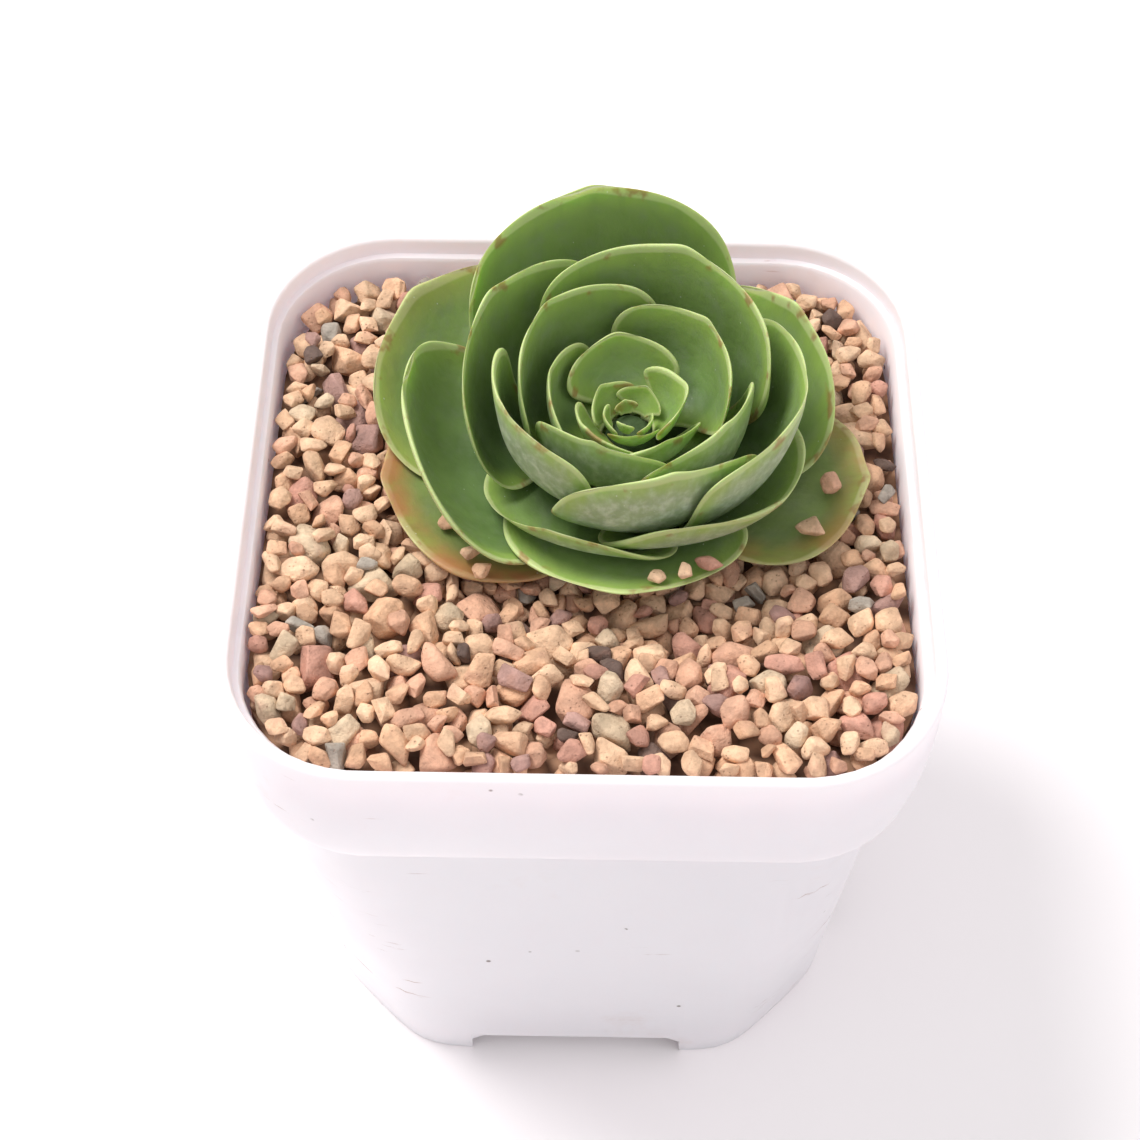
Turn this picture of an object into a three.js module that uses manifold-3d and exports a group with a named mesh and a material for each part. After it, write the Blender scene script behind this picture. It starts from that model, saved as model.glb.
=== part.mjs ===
// A rose-shaped succulent (a Greenovia-type houseleek) growing in a square
// plastic nursery pot, top-dressed with tan clay grit. Millimetres, +Z up,
// origin at the centre of the pot's footprint, front face towards -Y.

import * as THREE from 'three';
import { mergeVertices } from 'three/addons/utils/BufferGeometryUtils.js';
import Module from 'manifold-3d';

const wasm = await Module();
wasm.setup();

const RAD = Math.PI / 180;
const UPWARD = new THREE.Vector3(0, 0, 1);

// ---------------------------------------------------------------- sizes

// Pot: an injection-moulded shell with a deep rim band over a narrower,
// slightly tapered body whose corners are cut off at 45 degrees. The band
// eases out to its full width in two steps, measured up from its foot.
const potWidth = 85;
const potHeight = 86;
const potWall = 1.4;
const rimCornerRadius = 17.3;
const rimBandHeight = 20.5;
const rimBandTaper = 1.2;
const bandFootRounding = 1.2;
const bandEaseStart = 6.2;
const bandEaseInset = 0.4;
const bandEaseEnd = 11.3;
const lipRounding = 0.5;
const shoulderRise = 1;
const bodyInset = 4.6;
const bodyTaper = 2.2;
const bodyChamferTop = 6;
const bodyChamferFoot = 14;
const chamferSoftness = 5;
const footHeight = 4;
const footNotchWidth = 29.5;
const footNotchRounding = 1.6;
const drainHoleDiameter = 6;
const drainHoleSpread = 20;

// Fillings: potting mix below, grit on top of it.
const seatGap = 0.3;
const gritDepth = 11;
const gritDropBack = 5.6;
const gritDropFront = 3.2;
const gritBumpHeight = 0.35;
const gritWaves = [[0.9, 0.3], [-0.4, 1.1]];
const gritBelowCrown = 0.9;
const gritHollowRadius = 24;
const gritSlopeWidth = 11;
const gritRings = 9;

// Plant: one short stem with a domed tip that carries all the leaves. Its
// root, neck and dome are measured down from the crown, where it is widest.
const plantX = 5.5;
const plantY = 7;
const crownBelowRim = 7.7;
const domeRadius = 3.6;
const stemRadius = 3.2;
const stemLength = 26;
const rootTipRadius = 1.2;
const rootRadius = 2.6;
const rootLength = 15.6;
const domeHeight = 1.5;
const neckHeight = 6;

// Leaves: fleshy, spoon-shaped, thinner towards a narrow blunt margin. The
// outer ones, as many as are detailed, are made with more rows of faces.
const leafCount = 30;
const goldenAngle = 137.5;
const firstLeafAngle = 217.5;
const leafBaseHalfAngle = 24;
const leafMarginThickness = 0.5;
const leafPoint = 0.9;
const tipSquareness = 2.2;
const leafShoulder = 0.76;
const wallSharpness = 12;
const frontTuck = 4.6;
const frontTuckPlaces = [9.4, 12.4];
const leafWidensFrom = 0.1;
const leafWidensTo = 0.95;
const leafBaseThinning = 0.35;
const leafBaseReach = 0.3;
const marginOfThickness = 0.6;
const pointOfHalfWidth = 0.15;
const detailedLeaves = 19;
const normalStep = 0.01;
const normalLimit = 0.9;

const surface = {
  pot: { color: 0xf4eef0, roughness: 0.35, metalness: 0 },
  mix: { color: 0x4a3a2c, roughness: 0.95, metalness: 0 },
  grit: { color: 0xd9b58c, roughness: 0.9, metalness: 0 },
  stem: { color: 0x7a7048, roughness: 0.8, metalness: 0 },
  leaf: { color: 0x4f8a3a, roughness: 0.4, metalness: 0 },
};

const model = new THREE.Group();

function addPart(name, geometry, look) {
  const mesh = new THREE.Mesh(geometry, new THREE.MeshStandardMaterial(look));
  mesh.name = name;
  model.add(mesh);
  return mesh;
}

// ---------------------------------------------------------------- solids

// A closed geometry as a solid that can be joined and cut.
function solid(geometry) {
  const plain = geometry.clone();
  plain.deleteAttribute('normal');
  plain.deleteAttribute('uv');
  const merged = mergeVertices(plain, 1e-4);
  return new wasm.Manifold(new wasm.Mesh({
    numProp: 3,
    vertProperties: new Float32Array(merged.attributes.position.array),
    triVerts: new Uint32Array(merged.index.array),
  }));
}

function geometryOf(manifold) {
  const mesh = manifold.getMesh();
  const geometry = new THREE.BufferGeometry();
  geometry.setAttribute('position', new THREE.BufferAttribute(mesh.vertProperties, 3));
  geometry.setIndex(new THREE.BufferAttribute(mesh.triVerts, 1));
  geometry.computeVertexNormals();
  return geometry;
}

// Faces between equal rings of points, stacked from bottom to top, each ring
// running anticlockwise seen from above, with a flat cap at each end.
function loft(rings) {
  const count = rings[0].length;
  const points = rings.flat();
  const faces = [];
  for (let level = 0; level + 1 < rings.length; level += 1) {
    for (let k = 0; k < count; k += 1) {
      const a = level * count + k;
      const b = level * count + (k + 1) % count;
      faces.push(a, b, b + count, a, b + count, a + count);
    }
  }
  const outline = rings[0].map((p) => new THREE.Vector2(p[0], p[1]));
  const top = (rings.length - 1) * count;
  for (const [a, b, c] of THREE.ShapeUtils.triangulateShape(outline, [])) {
    faces.push(c, b, a);
    faces.push(top + a, top + b, top + c);
  }
  const geometry = new THREE.BufferGeometry();
  geometry.setAttribute('position', new THREE.Float32BufferAttribute(points.flat(), 3));
  geometry.setIndex(faces);
  return geometry;
}

// One quarter of a square ring, as points of the corner at +X +Y.
function roundCorner(half, radius) {
  const centre = half - radius;
  return [0, 18, 36, 54, 72, 90].map((angle) => [
    centre + radius * Math.cos(angle * RAD),
    centre + radius * Math.sin(angle * RAD),
  ]);
}

// The same for a square with its corners cut off, each edge of a cut rounded.
function chamferCorner(half, cut, softness) {
  const turn = 22.5 * RAD;
  const tangent = softness * Math.tan(turn);
  const diagonal = tangent * Math.SQRT1_2;
  const sag = softness * (1 / Math.cos(turn) - 1);
  const first = [
    [half, half - cut - tangent],
    [half - sag * Math.cos(turn), half - cut - sag * Math.sin(turn)],
    [half - diagonal, half - cut + diagonal],
  ];
  const second = first.map(([x, y]) => [y, x]).reverse();
  return [...first, ...second];
}

function squareRing(corner, z) {
  const ring = [];
  for (let turn = 0; turn < 4; turn += 1) {
    const cos = Math.round(Math.cos(turn * 90 * RAD));
    const sin = Math.round(Math.sin(turn * 90 * RAD));
    for (const [x, y] of corner) {
      ring.push([x * cos - y * sin, x * sin + y * cos, z]);
    }
  }
  return ring;
}

// ---------------------------------------------------------------- pot

const rimHalf = potWidth / 2;
const bandFootZ = potHeight - rimBandHeight;
const bodyHalfTop = rimHalf - bodyInset;
const bodyHalfFoot = bodyHalfTop - bodyTaper;
const floorTop = footHeight + potWall;
const shoulderZ = bandFootZ + potWall;

// A cutting body reaches this far past the face that it cuts through.
const overshoot = 1;

// A square with cut corners moved in by a wall keeps this share of the wall
// on each cut.
const chamferInset = 2 - Math.SQRT2;

// Stations of the outside, then of the inside: the inside is the outside
// moved in by the wall, with its shoulder lifted by the wall.
function outsideRings() {
  const band = rimHalf - rimBandTaper;
  const rounding = bandFootRounding * (1 - Math.SQRT1_2);
  return [
    squareRing(chamferCorner(bodyHalfFoot, bodyChamferFoot, chamferSoftness), 0),
    squareRing(chamferCorner(bodyHalfTop, bodyChamferTop, chamferSoftness), bandFootZ),
    squareRing(roundCorner(band - rounding, rimCornerRadius), bandFootZ + rounding),
    squareRing(roundCorner(band, rimCornerRadius), bandFootZ + bandFootRounding),
    squareRing(roundCorner(rimHalf - bandEaseInset, rimCornerRadius), bandFootZ + bandEaseStart),
    squareRing(roundCorner(rimHalf, rimCornerRadius), bandFootZ + bandEaseEnd),
    squareRing(roundCorner(rimHalf, rimCornerRadius), potHeight - lipRounding),
    squareRing(roundCorner(rimHalf - lipRounding, rimCornerRadius - lipRounding), potHeight),
  ];
}

// The inside, shrunk by a clearance for what fills it, between two heights.
function insideRing(z, clearance) {
  const inset = potWall + clearance;
  if (z >= shoulderZ) {
    const band = rimHalf - rimBandTaper - inset;
    return squareRing(roundCorner(band, rimCornerRadius - inset), z);
  }
  const share = z / bandFootZ;
  const half = bodyHalfFoot + (bodyHalfTop - bodyHalfFoot) * share;
  const cut = bodyChamferFoot + (bodyChamferTop - bodyChamferFoot) * share;
  return squareRing(chamferCorner(half - inset, cut - inset * chamferInset, chamferSoftness), z);
}

function insideSolid(zLow, zHigh, clearance) {
  const levels = [zLow];
  if (zLow < shoulderZ && zHigh > shoulderZ) {
    levels.push(shoulderZ - shoulderRise + clearance);
    levels.push(shoulderZ + clearance);
  }
  levels.push(zHigh);
  return solid(loft(levels.map((z) => insideRing(z, clearance))));
}

function notchBar(alongX) {
  const half = footNotchWidth / 2;
  const round = footNotchRounding;
  const shape = new THREE.Shape();
  shape.moveTo(-half, -overshoot);
  shape.lineTo(half, -overshoot);
  shape.lineTo(half, footHeight - round);
  shape.absarc(half - round, footHeight - round, round, 0, Math.PI / 2, false);
  shape.absarc(-half + round, footHeight - round, round, Math.PI / 2, Math.PI, false);
  shape.closePath();
  const bar = new THREE.ExtrudeGeometry(shape, {
    depth: potWidth, bevelEnabled: false, curveSegments: 3, steps: 1,
  });
  bar.translate(0, 0, -potWidth / 2);
  bar.rotateX(Math.PI / 2);
  if (alongX) {
    bar.rotateZ(Math.PI / 2);
  }
  return solid(bar);
}

function potBody() {
  const underHalf = bodyHalfFoot - potWall;
  const underCut = bodyChamferFoot - potWall * chamferInset;
  const underCorner = chamferCorner(underHalf, underCut, chamferSoftness);
  const recess = solid(loft([
    squareRing(underCorner, -overshoot), squareRing(underCorner, footHeight),
  ]));
  let pot = solid(loft(outsideRings()))
    .subtract(insideSolid(floorTop, potHeight + overshoot, 0))
    .subtract(recess)
    .subtract(notchBar(false))
    .subtract(notchBar(true));
  for (const [x, y] of [[0, 0], [1, 1], [-1, 1], [-1, -1], [1, -1]]) {
    const hole = new THREE.CylinderGeometry(
      drainHoleDiameter / 2, drainHoleDiameter / 2, potWall + 2 * overshoot, 16,
    );
    hole.rotateX(Math.PI / 2);
    hole.translate(x * drainHoleSpread, y * drainHoleSpread, footHeight + potWall / 2);
    pot = pot.subtract(solid(hole));
  }
  return pot;
}

addPart('pot', geometryOf(potBody()), surface.pot);

// ---------------------------------------------------------------- rosette

const crownZ = potHeight - crownBelowRim;

// The leaves of a rosette nest like cups with a sloping floor and a steep
// wall. A leaf's place in the nest, from the outermost at 0, sets the floor's
// slope in degrees and the wall's radius. The slope only rises with the place
// and the radius only falls, so that an inner cup stays inside an outer one.
const floorByPlace = [
  [0, 3.5], [5, 4.5], [9, 6], [12, 8.5], [15, 16], [18, 25], [21, 37], [25, 52], [29, 66],
];
const wallByPlace = [
  [0, 39.5], [2, 37.5], [3, 33], [4, 29.5], [6, 28.2], [8, 26], [10, 22.6], [12, 18.8],
  [13.4, 17.4], [15.5, 14.8], [18, 12], [20.5, 9], [23, 5.6], [26, 3.4], [29, 1.9],
];
const stemHeightByPlace = [[0, 0], [3, 1.6], [12, 4.5], [20, 6.6], [29, 7.2]];

function along(table, place) {
  let k = 0;
  while (k + 2 < table.length && place > table[k + 1][0]) {
    k += 1;
  }
  const [x0, y0] = table[k];
  const [x1, y1] = table[k + 1];
  return y0 + (y1 - y0) * (place - x0) / (x1 - x0);
}

// How far the walls of the outer cups press in against the inner ones, most
// at the front, where the rosette leans on its lower leaves.
function tuckAt(place, azimuth) {
  const front = Math.max(-Math.sin(azimuth), 0) ** 2;
  const [whole, none] = frontTuckPlaces;
  return frontTuck * front * THREE.MathUtils.clamp((none - place) / (none - whole), 0, 1);
}

// Radius from the plant's axis of the point of a cup that is this far from
// the crown, with its wall moved out by lean.
function cupRadius(place, distance, lean) {
  const floor = distance * Math.cos(along(floorByPlace, place) * RAD);
  const wall = along(wallByPlace, place) + lean;
  return floor / (1 + (floor / wall) ** wallSharpness) ** (1 / wallSharpness);
}

function cupHeight(place, distance, radius) {
  return crownZ + along(stemHeightByPlace, place) + Math.sqrt(distance ** 2 - radius ** 2);
}

// Each leaf, outermost first: how far it strays from the golden angle, how
// many places it is tucked further in than its age gives, its length from
// the crown, its half width, its thickness, how far its wall leans out, how
// many places its side margins rise, and how far its tip swings sideways.
const leafSizes = [
  { stray: -17, tuck: 0, length: 31.2, half: 17, thick: 1.1, lean: -1.5, cup: 0.2, swing: -13 },
  { stray: -2, tuck: 0, length: 30.3, half: 14, thick: 1.1, lean: -2.5, cup: 0.2, swing: 0 },
  { stray: 11, tuck: -0.5, length: 36.5, half: 20, thick: 1, lean: -0.5, cup: 0.4, swing: 0 },
  { stray: -10, tuck: 2.3, length: 23.2, half: 18, thick: 1, lean: 2.4, cup: 0.2, swing: 8 },
  { stray: -10, tuck: 0, length: 29.5, half: 17, thick: 1.1, lean: -2.5, cup: 0.3, swing: 0 },
  { stray: 2, tuck: -1.6, length: 32.1, half: 19, thick: 1, lean: -3.4, cup: 0.2, swing: -4 },
  { stray: -15, tuck: 3.5, length: 23.8, half: 18, thick: 1, lean: 1.5, cup: 0.2, swing: 15 },
  { stray: -3, tuck: 0, length: 35, half: 19.5, thick: 1.1, lean: -0.5, cup: 0.4, swing: 4 },
  { stray: -5, tuck: -0.2, length: 21.3, half: 15.5, thick: 1, lean: -2.2, cup: 0.2, swing: 6 },
  { stray: -27, tuck: 2.4, length: 27.3, half: 18, thick: 1, lean: 1.2, cup: 0.2, swing: 0 },
  { stray: 2, tuck: 0.6, length: 27.7, half: 19, thick: 1.1, lean: -1.2, cup: 0.2, swing: -5 },
  { stray: -12, tuck: 1.7, length: 24, half: 14.5, thick: 1.1, lean: -0.9, cup: 0.1, swing: 8 },
  { stray: -5, tuck: 1.8, length: 26.5, half: 19.5, thick: 1.1, lean: 0.5, cup: 0.1, swing: 6 },
  { stray: 2, tuck: 1.4, length: 24.8, half: 13, thick: 1.1, lean: 1, cup: 0.1, swing: 0 },
  { stray: -10, tuck: 1.5, length: 21.9, half: 12.5, thick: 1.1, lean: -0.4, cup: 0.1, swing: -14 },
  { stray: 15, tuck: 1.2, length: 22, half: 16, thick: 1, lean: -0.4, cup: 0.1, swing: 6 },
  { stray: -10, tuck: 1.4, length: 18.6, half: 10.5, thick: 1, lean: -0.8, cup: 0.1, swing: 0 },
  { stray: 10, tuck: 1, length: 19.2, half: 12.5, thick: 0.9, lean: 0.2, cup: 0.1, swing: -4 },
  { stray: -7, tuck: 1.1, length: 15.7, half: 9.5, thick: 0.9, lean: -0.6, cup: 0.1, swing: 6 },
  { stray: -10, tuck: 0.9, length: 13.2, half: 8, thick: 0.8, lean: -1, cup: 0.1, swing: 0 },
  { stray: 15, tuck: 0.6, length: 14.2, half: 9, thick: 0.8, lean: 0, cup: 0.1, swing: 0 },
  { stray: -5, tuck: 0.8, length: 10.8, half: 6.5, thick: 0.7, lean: 0, cup: 0.1, swing: 0 },
  { stray: 5, tuck: 0.8, length: 11.8, half: 7, thick: 0.7, lean: 1, cup: 0.1, swing: 0 },
  { stray: 0, tuck: 0.8, length: 8.6, half: 5, thick: 0.6, lean: 0, cup: 0.1, swing: 0 },
  { stray: 0, tuck: 0.4, length: 8.2, half: 4, thick: 0.6, lean: 0, cup: 0.1, swing: 0 },
  { stray: 5, tuck: 0.3, length: 7.9, half: 4, thick: 0.5, lean: 0, cup: 0.1, swing: 0 },
  { stray: 0, tuck: 0, length: 6.9, half: 2.8, thick: 0.5, lean: 0, cup: 0.1, swing: 0 },
  { stray: 0, tuck: 0, length: 6.4, half: 2.2, thick: 0.5, lean: 0, cup: 0.1, swing: 0 },
  { stray: 0, tuck: 0, length: 6, half: 1.8, thick: 0.5, lean: 0, cup: 0.1, swing: 0 },
  { stray: 0, tuck: 0, length: 5.8, half: 1.4, thick: 0.5, lean: 0, cup: 0, swing: 0 },
];

const leaves = leafSizes.slice(0, leafCount).map((size, order) => ({
  ...size,
  order,
  place: order + size.tuck,
  azimuth: (firstLeafAngle + goldenAngle * order + size.stray) * RAD,
}));

// A point of a leaf's middle surface: across runs from -1 to 1 between the
// side margins, up from 0 at the stem to 1 at the end margin.
function leafMiddle(leaf, across, up) {
  const blade = leaf.length - domeRadius - seatGap;
  const roof = (1 - Math.abs(across) ** tipSquareness) ** (1 / tipSquareness);
  const reach = up * blade * (leafShoulder + (1 - leafShoulder) * roof);
  const distance = domeRadius + seatGap + reach;
  const place = leaf.place + leaf.cup * across * across * up;
  const lean = leaf.lean * up ** 2 * (1 - across ** 2);
  const open = cupRadius(place, distance, lean);
  const base = leafBaseHalfAngle * RAD * open;
  const widening = THREE.MathUtils.smoothstep(up, leafWidensFrom, leafWidensTo);
  const side = across * (base + (leaf.half - base) * widening);
  const azimuth = leaf.azimuth + leaf.swing * RAD * up * up + side / open;
  const radius = cupRadius(place, distance, lean - tuckAt(place, azimuth));
  return new THREE.Vector3(
    plantX + radius * Math.cos(azimuth),
    plantY + radius * Math.sin(azimuth),
    cupHeight(place, distance, radius),
  );
}

// Which way the inner face looks. Close to the margin the surface turns too
// sharply to measure, so the direction there is taken a little inside it.
function leafNormal(leaf, across, up) {
  const inside = THREE.MathUtils.clamp(across, -normalLimit, normalLimit);
  const sideways = leafMiddle(leaf, inside + normalStep, up)
    .sub(leafMiddle(leaf, inside - normalStep, up));
  const upward = leafMiddle(leaf, inside, Math.min(up + normalStep, 1))
    .sub(leafMiddle(leaf, inside, Math.max(up - normalStep, 0)));
  return upward.cross(sideways).normalize();
}

// Flesh thickness: full at the stem and along the middle, and the blunt
// margin's at the sides and the end.
function leafThickness(leaf, across, up) {
  const margin = Math.min(leafMarginThickness, leaf.thick * marginOfThickness);
  const flesh = (1 - across ** 2) * (1 - up ** 3);
  const base = 1 - leafBaseThinning * (1 - THREE.MathUtils.smoothstep(up, 0, leafBaseReach));
  return margin + (leaf.thick - margin) * flesh * base;
}

function leafGeometry(leaf) {
  const large = leaf.order < detailedLeaves;
  const turns = large ? [0, 7, 24, 45, 66, 90] : [0, 12, 45, 90];
  const columns = [...turns.slice(1).reverse().map((t) => -t), ...turns];
  const rows = large ? 6 : 4;
  const acrossCount = columns.length;
  const points = [];
  for (const side of [1, -1]) {
    for (let row = 0; row <= rows; row += 1) {
      for (const turn of columns) {
        const across = Math.sin(turn * RAD);
        const up = row / rows;
        const point = leafMiddle(leaf, across, up);
        const normal = leafNormal(leaf, across, up);
        point.addScaledVector(normal, -side * leafThickness(leaf, across, up) / 2);
        if (turn === 0 && row === rows) {
          const beyond = leafMiddle(leaf, 0, 1).sub(leafMiddle(leaf, 0, 1 - normalStep));
          beyond.normalize();
          point.addScaledVector(beyond, Math.min(leafPoint, leaf.half * pointOfHalfWidth));
        }
        points.push(point.x, point.y, point.z);
      }
    }
  }
  const sheet = acrossCount * (rows + 1);
  const faces = [];
  const quad = (a, b, c, d) => faces.push(a, b, c, a, c, d);
  // Every cell is split along the diagonal that runs outwards and up, so that
  // the corner cells, where side and end margins meet, stay unfolded.
  for (let row = 0; row < rows; row += 1) {
    for (let k = 0; k + 1 < acrossCount; k += 1) {
      const a = row * acrossCount + k;
      const b = a + 1;
      const c = b + acrossCount;
      const d = a + acrossCount;
      const [p, q, r, s] = k < (acrossCount - 1) / 2 ? [b, c, d, a] : [a, b, c, d];
      quad(p, q, r, s);
      quad(sheet + p, sheet + s, sheet + r, sheet + q);
    }
  }
  const edge = [];
  for (let k = 0; k + 1 < acrossCount; k += 1) {
    edge.push(k);
  }
  for (let row = 0; row < rows; row += 1) {
    edge.push(row * acrossCount + acrossCount - 1);
  }
  for (let k = acrossCount - 1; k > 0; k -= 1) {
    edge.push(rows * acrossCount + k);
  }
  for (let row = rows; row > 0; row -= 1) {
    edge.push(row * acrossCount);
  }
  for (let k = 0; k < edge.length; k += 1) {
    const a = edge[k];
    const b = edge[(k + 1) % edge.length];
    quad(b, a, sheet + a, sheet + b);
  }
  const geometry = new THREE.BufferGeometry();
  geometry.setAttribute('position', new THREE.Float32BufferAttribute(points, 3));
  geometry.setIndex(faces);
  geometry.computeVertexNormals();
  return geometry;
}

for (const leaf of leaves) {
  const name = `leaf_${String(leaf.order + 1).padStart(2, '0')}`;
  addPart(name, geometryOf(solid(leafGeometry(leaf))), surface.leaf);
}

// ---------------------------------------------------------------- stem

// Profile from the root tip up to the dome, which follows the leaf bases at
// the seat gap. A clearance widens it, for the hole that it grows through.
function stemProfile(clearance) {
  const foot = crownZ - stemLength;
  const profile = [[0, foot - clearance], [rootTipRadius + clearance, foot - clearance]];
  profile.push([rootRadius + clearance, crownZ - rootLength]);
  profile.push([stemRadius + clearance, crownZ - neckHeight]);
  profile.push([domeRadius + clearance, crownZ - domeHeight]);
  for (let place = 0; place < leafCount; place += 3) {
    const radius = cupRadius(place, domeRadius, 0);
    const swell = 1 + clearance / domeRadius;
    profile.push([radius * swell, cupHeight(place, domeRadius * swell, radius * swell)]);
  }
  profile.push([0, cupHeight(leafCount - 1, domeRadius, 0) + clearance]);
  return profile.map(([r, z]) => new THREE.Vector2(r, z));
}

function stemSolid(clearance) {
  const lathe = new THREE.LatheGeometry(stemProfile(clearance), 20);
  lathe.rotateX(Math.PI / 2);
  lathe.translate(plantX, plantY, 0);
  return solid(lathe);
}

addPart('stem', geometryOf(stemSolid(0)), surface.stem);

// ---------------------------------------------------------------- fillings

const gritFootZ = potHeight - gritDepth;
const innerHalf = rimHalf - rimBandTaper - potWall;

addPart(
  'potting_mix',
  geometryOf(insideSolid(floorTop + seatGap, gritFootZ - seatGap, seatGap).subtract(stemSolid(seatGap))),
  surface.mix,
);

// Height of the grit: it falls from front to back, is a little uneven, and
// is hollowed under the rosette.
function gritTop(x, y) {
  const back = (y + innerHalf) / (2 * innerHalf);
  const drop = gritDropFront + (gritDropBack - gritDropFront) * back;
  const waves = gritWaves.map(([perX, perY]) => Math.sin(x * perX + y * perY));
  const bump = gritBumpHeight * (waves[0] + waves[1]);
  const fromPlant = Math.hypot(x - plantX, y - plantY);
  const rim = THREE.MathUtils.smoothstep(fromPlant, gritHollowRadius, gritHollowRadius + gritSlopeWidth);
  const open = potHeight - drop + bump;
  const hollow = crownZ - gritBelowCrown;
  return hollow + (Math.max(open, hollow) - hollow) * rim;
}

function gritBed() {
  const outline = insideRing(gritFootZ, seatGap);
  const count = outline.length * 2;
  const edge = [];
  outline.forEach(([x, y], k) => {
    const [nextX, nextY] = outline[(k + 1) % outline.length];
    edge.push([x, y]);
    edge.push([(x + nextX) / 2, (y + nextY) / 2]);
  });
  const points = [[0, 0, gritTop(0, 0)], [0, 0, gritFootZ]];
  for (let ring = 1; ring <= gritRings; ring += 1) {
    for (const [x, y] of edge) {
      const share = ring / gritRings;
      points.push([x * share, y * share, gritTop(x * share, y * share)]);
    }
  }
  for (const [x, y] of edge) {
    points.push([x, y, gritFootZ]);
  }
  const faces = [];
  for (let k = 0; k < count; k += 1) {
    const next = (k + 1) % count;
    faces.push(0, 2 + k, 2 + next);
    for (let ring = 0; ring < gritRings; ring += 1) {
      const a = 2 + ring * count + k;
      const b = 2 + ring * count + next;
      faces.push(a, a + count, b + count, a, b + count, b);
    }
    const foot = 2 + gritRings * count;
    faces.push(1, foot + next, foot + k);
  }
  const geometry = new THREE.BufferGeometry();
  geometry.setAttribute('position', new THREE.Float32BufferAttribute(points.flat(), 3));
  geometry.setIndex(faces);
  return solid(geometry).subtract(stemSolid(seatGap));
}

addPart('gravel_top_dressing', geometryOf(gritBed()), surface.grit);

// ---------------------------------------------------------------- loose stones

// Grit stones that have rolled onto the lowest leaves. Each lies on the upper
// face of one leaf, at a place across and up it, turned about the vertical.
const looseStones = [
  { leaf: 3, across: 0.26, up: 0.93, size: [2.8, 2, 1.8], turn: -25 },
  { leaf: 3, across: 0.45, up: 1, size: [2.6, 2.4, 2.4], turn: 40 },
  { leaf: 3, across: 0.62, up: 1, size: [4, 2.4, 2.4], turn: 10 },
  { leaf: 1, across: -0.6, up: 0.84, size: [4.4, 3.2, 2.8], turn: 25 },
  { leaf: 1, across: -0.1, up: 0.84, size: [3.6, 3, 3.2], turn: 80 },
  { leaf: 0, across: 0.3, up: 0.77, size: [3.4, 2.6, 2.2], turn: -50 },
  { leaf: 0, across: 0.65, up: 0.8, size: [3.4, 2.4, 2.2], turn: 15 },
  { leaf: 0, across: 0.9, up: 0.9, size: [3.6, 2.6, 2.2], turn: 60 },
];

looseStones.forEach((stone, index) => {
  const leaf = leaves[stone.leaf];
  const up = leafNormal(leaf, stone.across, stone.up);
  const turned = up.clone().applyAxisAngle(UPWARD, -stone.turn * RAD);
  const radius = turned.multiply(new THREE.Vector3(...stone.size)).length() / 2;
  const rest = leafThickness(leaf, stone.across, stone.up) / 2 + seatGap + radius;
  const stoneShape = new THREE.IcosahedronGeometry(0.5, 1);
  stoneShape.scale(...stone.size);
  const centre = leafMiddle(leaf, stone.across, stone.up).addScaledVector(up, rest);
  const mesh = addPart(`loose_stone_${index + 1}`, geometryOf(solid(stoneShape)), surface.grit);
  mesh.position.copy(centre);
  mesh.rotation.z = stone.turn * RAD;
});

export default model;
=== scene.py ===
import math

import bmesh
import bpy
import numpy as np
from mathutils import Euler, Matrix, Vector, kdtree, noise
from mathutils.bvhtree import BVHTree


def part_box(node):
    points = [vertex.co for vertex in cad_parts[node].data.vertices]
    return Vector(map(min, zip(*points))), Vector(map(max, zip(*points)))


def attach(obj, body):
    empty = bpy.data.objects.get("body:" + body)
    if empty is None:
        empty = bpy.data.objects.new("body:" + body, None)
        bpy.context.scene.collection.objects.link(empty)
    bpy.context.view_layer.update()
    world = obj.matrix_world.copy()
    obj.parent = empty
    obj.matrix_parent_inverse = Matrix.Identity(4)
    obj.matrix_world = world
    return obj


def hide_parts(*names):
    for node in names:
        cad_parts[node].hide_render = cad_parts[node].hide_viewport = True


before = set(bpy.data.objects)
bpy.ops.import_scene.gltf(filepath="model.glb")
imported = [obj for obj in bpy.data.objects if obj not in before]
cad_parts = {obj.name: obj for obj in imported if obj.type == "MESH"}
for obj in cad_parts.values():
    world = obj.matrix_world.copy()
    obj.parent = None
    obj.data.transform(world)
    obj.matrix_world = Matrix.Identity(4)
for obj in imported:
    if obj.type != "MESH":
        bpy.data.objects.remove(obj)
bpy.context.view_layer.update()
scene = bpy.context.scene
MM = 0.001


# ------------------------------------------------------------------ pot
# A square nursery pot, injection moulded in thin white polypropylene: a deep
# rim band with round corners over a narrower body whose corners are cut off
# at 45 degrees. The body stands on four corner feet, with drain holes between.

rim_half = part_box("pot")[1].x
pot_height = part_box("pot")[1].z
wall = 1.4 * MM
rim_corner = 17.3 * MM
band_foot = pot_height - 20.5 * MM
band_half = rim_half - 1.2 * MM
lip_wall = 1.5 * MM
lip_depth = 2.7 * MM
body_half_top = rim_half - 4.6 * MM
body_half_foot = body_half_top - 2.2 * MM
chamfer_top = 6 * MM
chamfer_foot = 14 * MM
chamfer_sharpness = 26
cut_inset_share = 0.59
foot_height = 4 * MM
notch_half = 14.75 * MM
notch_round = 1.6 * MM
drain_radius = 3 * MM
drain_spread = 20 * MM
drain_places = ((0, 0), (1, 1), (-1, 1), (-1, -1), (1, -1))


def round_square(angle, half, corner):
    """Distance from the axis to a square with round corners."""
    c, s = abs(math.cos(angle)), abs(math.sin(angle))
    straight = half - corner
    side = half / max(c, s)
    if min(c, s) * side <= straight:
        return side
    inner = (c + s) * straight
    return inner + math.sqrt(max(inner ** 2 - 2 * straight ** 2 + corner ** 2, 0))


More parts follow.
